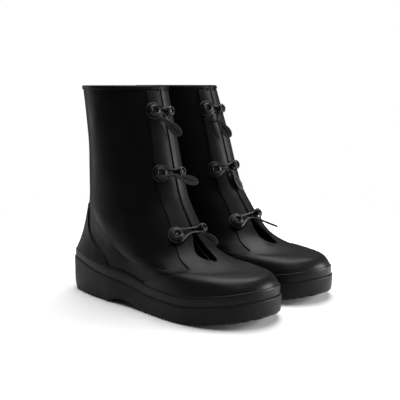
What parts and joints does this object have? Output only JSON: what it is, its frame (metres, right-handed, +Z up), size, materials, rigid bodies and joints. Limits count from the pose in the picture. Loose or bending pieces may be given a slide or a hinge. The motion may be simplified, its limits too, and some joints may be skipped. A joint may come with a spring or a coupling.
{
  "type": "pair of buttoned rubber overboots",
  "caption": "Pair of tall black rubber overboots with treaded heeled soles, a slit front over a folded gusset, and button fastenings with elastic loops and finger pulls.",
  "frame": {"origin": "on the floor under the middle of the pair's bounding box", "axes": "+Z up, toes towards -Y, the right boot on the -X side and the left boot on the +X side"},
  "size_m": [0.2604, 0.3406, 0.273],
  "materials": {
    "upper_rubber": "smooth black moulded rubber, semi-matte, dull sheen",
    "overlay_rubber": "smooth black rubber sheet, a little glossier than the shaft",
    "sole_rubber": "matte black moulded tread rubber",
    "gusset_rubber": "thin black rubber, folded, glossy on the fold",
    "insole_fabric": "dark knitted lining over a board",
    "button_rubber": "hard black rubber, polished by use",
    "rivet_steel": "nickel-plated steel",
    "loop_rubber": "elastic black rubber with a brownish sheen",
    "pull_rubber": "dark grey rubber, matte, dusty"
  },
  "bodies": {
    "right_boot": {"right_upper": "upper_rubber", "right_vamp_overlay": "overlay_rubber", "right_heel_counter": "upper_rubber", "right_top_band": "upper_rubber", "right_tongue_gusset": "gusset_rubber", "right_foxing": "overlay_rubber", "right_outsole": "sole_rubber", "right_insole": "insole_fabric", "right_top_fixed_button": "button_rubber", "right_top_fixed_rivet": "rivet_steel", "right_top_hook_button": "button_rubber", "right_top_hook_rivet": "rivet_steel", "right_middle_fixed_button": "button_rubber", "right_middle_fixed_rivet": "rivet_steel", "right_middle_hook_button": "button_rubber", "right_middle_hook_rivet": "rivet_steel", "right_bottom_fixed_button": "button_rubber", "right_bottom_fixed_rivet": "rivet_steel", "right_bottom_hook_button": "button_rubber", "right_bottom_hook_rivet": "rivet_steel"},
    "left_boot": {"left_upper": "upper_rubber", "left_vamp_overlay": "overlay_rubber", "left_heel_counter": "upper_rubber", "left_top_band": "upper_rubber", "left_tongue_gusset": "gusset_rubber", "left_foxing": "overlay_rubber", "left_outsole": "sole_rubber", "left_insole": "insole_fabric", "left_top_fixed_button": "button_rubber", "left_top_fixed_rivet": "rivet_steel", "left_top_hook_button": "button_rubber", "left_top_hook_rivet": "rivet_steel", "left_middle_fixed_button": "button_rubber", "left_middle_fixed_rivet": "rivet_steel", "left_middle_hook_button": "button_rubber", "left_middle_hook_rivet": "rivet_steel", "left_bottom_fixed_button": "button_rubber", "left_bottom_fixed_rivet": "rivet_steel", "left_bottom_hook_button": "button_rubber", "left_bottom_hook_rivet": "rivet_steel"},
    "right_top_loop_end": {"right_top_loop": "loop_rubber"},
    "right_top_pull": {"right_top_pull_tab": "pull_rubber"},
    "right_middle_loop_end": {"right_middle_loop": "loop_rubber"},
    "right_middle_pull": {"right_middle_pull_tab": "pull_rubber"},
    "right_bottom_loop_end": {"right_bottom_loop": "loop_rubber"},
    "right_bottom_pull": {"right_bottom_pull_tab": "pull_rubber"},
    "left_top_loop_end": {"left_top_loop": "loop_rubber"},
    "left_top_pull": {"left_top_pull_tab": "pull_rubber"},
    "left_middle_loop_end": {"left_middle_loop": "loop_rubber"},
    "left_middle_pull": {"left_middle_pull_tab": "pull_rubber"},
    "left_bottom_loop_end": {"left_bottom_loop": "loop_rubber"},
    "left_bottom_pull": {"left_bottom_pull_tab": "pull_rubber"}
  },
  "joints": [
    {"name": "left_boot_place", "type": "slide", "parent": "right_boot", "child": "left_boot", "axis": [1, 0, 0], "range_m": [0, 0.2]},
    {"name": "right_top_stretch", "type": "slide", "parent": "right_boot", "child": "right_top_loop_end", "axis": [0.4788, -0.5187, -0.7083], "range_m": [0, 0.012], "stiffness_N_per_m": 300, "deforming": ["right_top_loop"]},
    {"name": "right_top_lift", "type": "hinge", "parent": "right_top_loop_end", "child": "right_top_pull", "pos_m": [-0.06252, 0.00254, 0.23123], "axis": [-0.4828, 0.5183, -0.7059], "range_deg": [-20, 70], "stiffness_Nm_per_rad": 0.02},
    {"name": "right_middle_stretch", "type": "slide", "parent": "right_boot", "child": "right_middle_loop_end", "axis": [0.6434, -0.7037, -0.3016], "range_m": [0, 0.012], "stiffness_N_per_m": 300, "deforming": ["right_middle_loop"]},
    {"name": "right_middle_lift", "type": "hinge", "parent": "right_middle_loop_end", "child": "right_middle_pull", "pos_m": [-0.06651, -0.02143, 0.16243], "axis": [-0.5431, -0.1419, -0.8276], "range_deg": [-40, 70], "stiffness_Nm_per_rad": 0.02},
    {"name": "right_bottom_stretch", "type": "slide", "parent": "right_boot", "child": "right_bottom_loop_end", "axis": [0.0493, -0.9175, -0.3946], "range_m": [0, 0.012], "stiffness_N_per_m": 300, "deforming": ["right_bottom_loop"]},
    {"name": "right_bottom_lift", "type": "hinge", "parent": "right_bottom_loop_end", "child": "right_bottom_pull", "pos_m": [-0.06297, -0.05915, 0.09524], "axis": [-0.4666, 0.3282, -0.8213], "range_deg": [-30, 70], "stiffness_Nm_per_rad": 0.02},
    {"name": "left_top_stretch", "type": "slide", "parent": "left_boot", "child": "left_top_loop_end", "axis": [0.4208, -0.4608, -0.7814], "range_m": [0, 0.012], "stiffness_N_per_m": 300, "deforming": ["left_top_loop"]},
    {"name": "left_top_lift", "type": "hinge", "parent": "left_top_loop_end", "child": "left_top_pull", "pos_m": [0.04987, 0.0155, 0.22535], "axis": [-0.6877, 0.3998, -0.6061], "range_deg": [-15, 70], "stiffness_Nm_per_rad": 0.02},
    {"name": "left_middle_stretch", "type": "slide", "parent": "left_boot", "child": "left_middle_loop_end", "axis": [0.3611, -0.3009, -0.8827], "range_m": [0, 0.012], "stiffness_N_per_m": 300, "deforming": ["left_middle_loop"]},
    {"name": "left_middle_lift", "type": "hinge", "parent": "left_middle_loop_end", "child": "left_middle_pull", "pos_m": [0.05769, -0.00464, 0.15596], "axis": [-0.9297, -0.1897, -0.3157], "range_deg": [0, 70], "stiffness_Nm_per_rad": 0.02},
    {"name": "left_bottom_stretch", "type": "slide", "parent": "left_boot", "child": "left_bottom_loop_end", "axis": [0.0309, -0.9781, -0.2059], "range_m": [0, 0.012], "stiffness_N_per_m": 300, "deforming": ["left_bottom_loop"]},
    {"name": "left_bottom_lift", "type": "hinge", "parent": "left_bottom_loop_end", "child": "left_bottom_pull", "pos_m": [0.07626, -0.03995, 0.09162], "axis": [-0.954, -0.0903, 0.2858], "range_deg": [-30, 70], "stiffness_Nm_per_rad": 0.02}
  ]
}
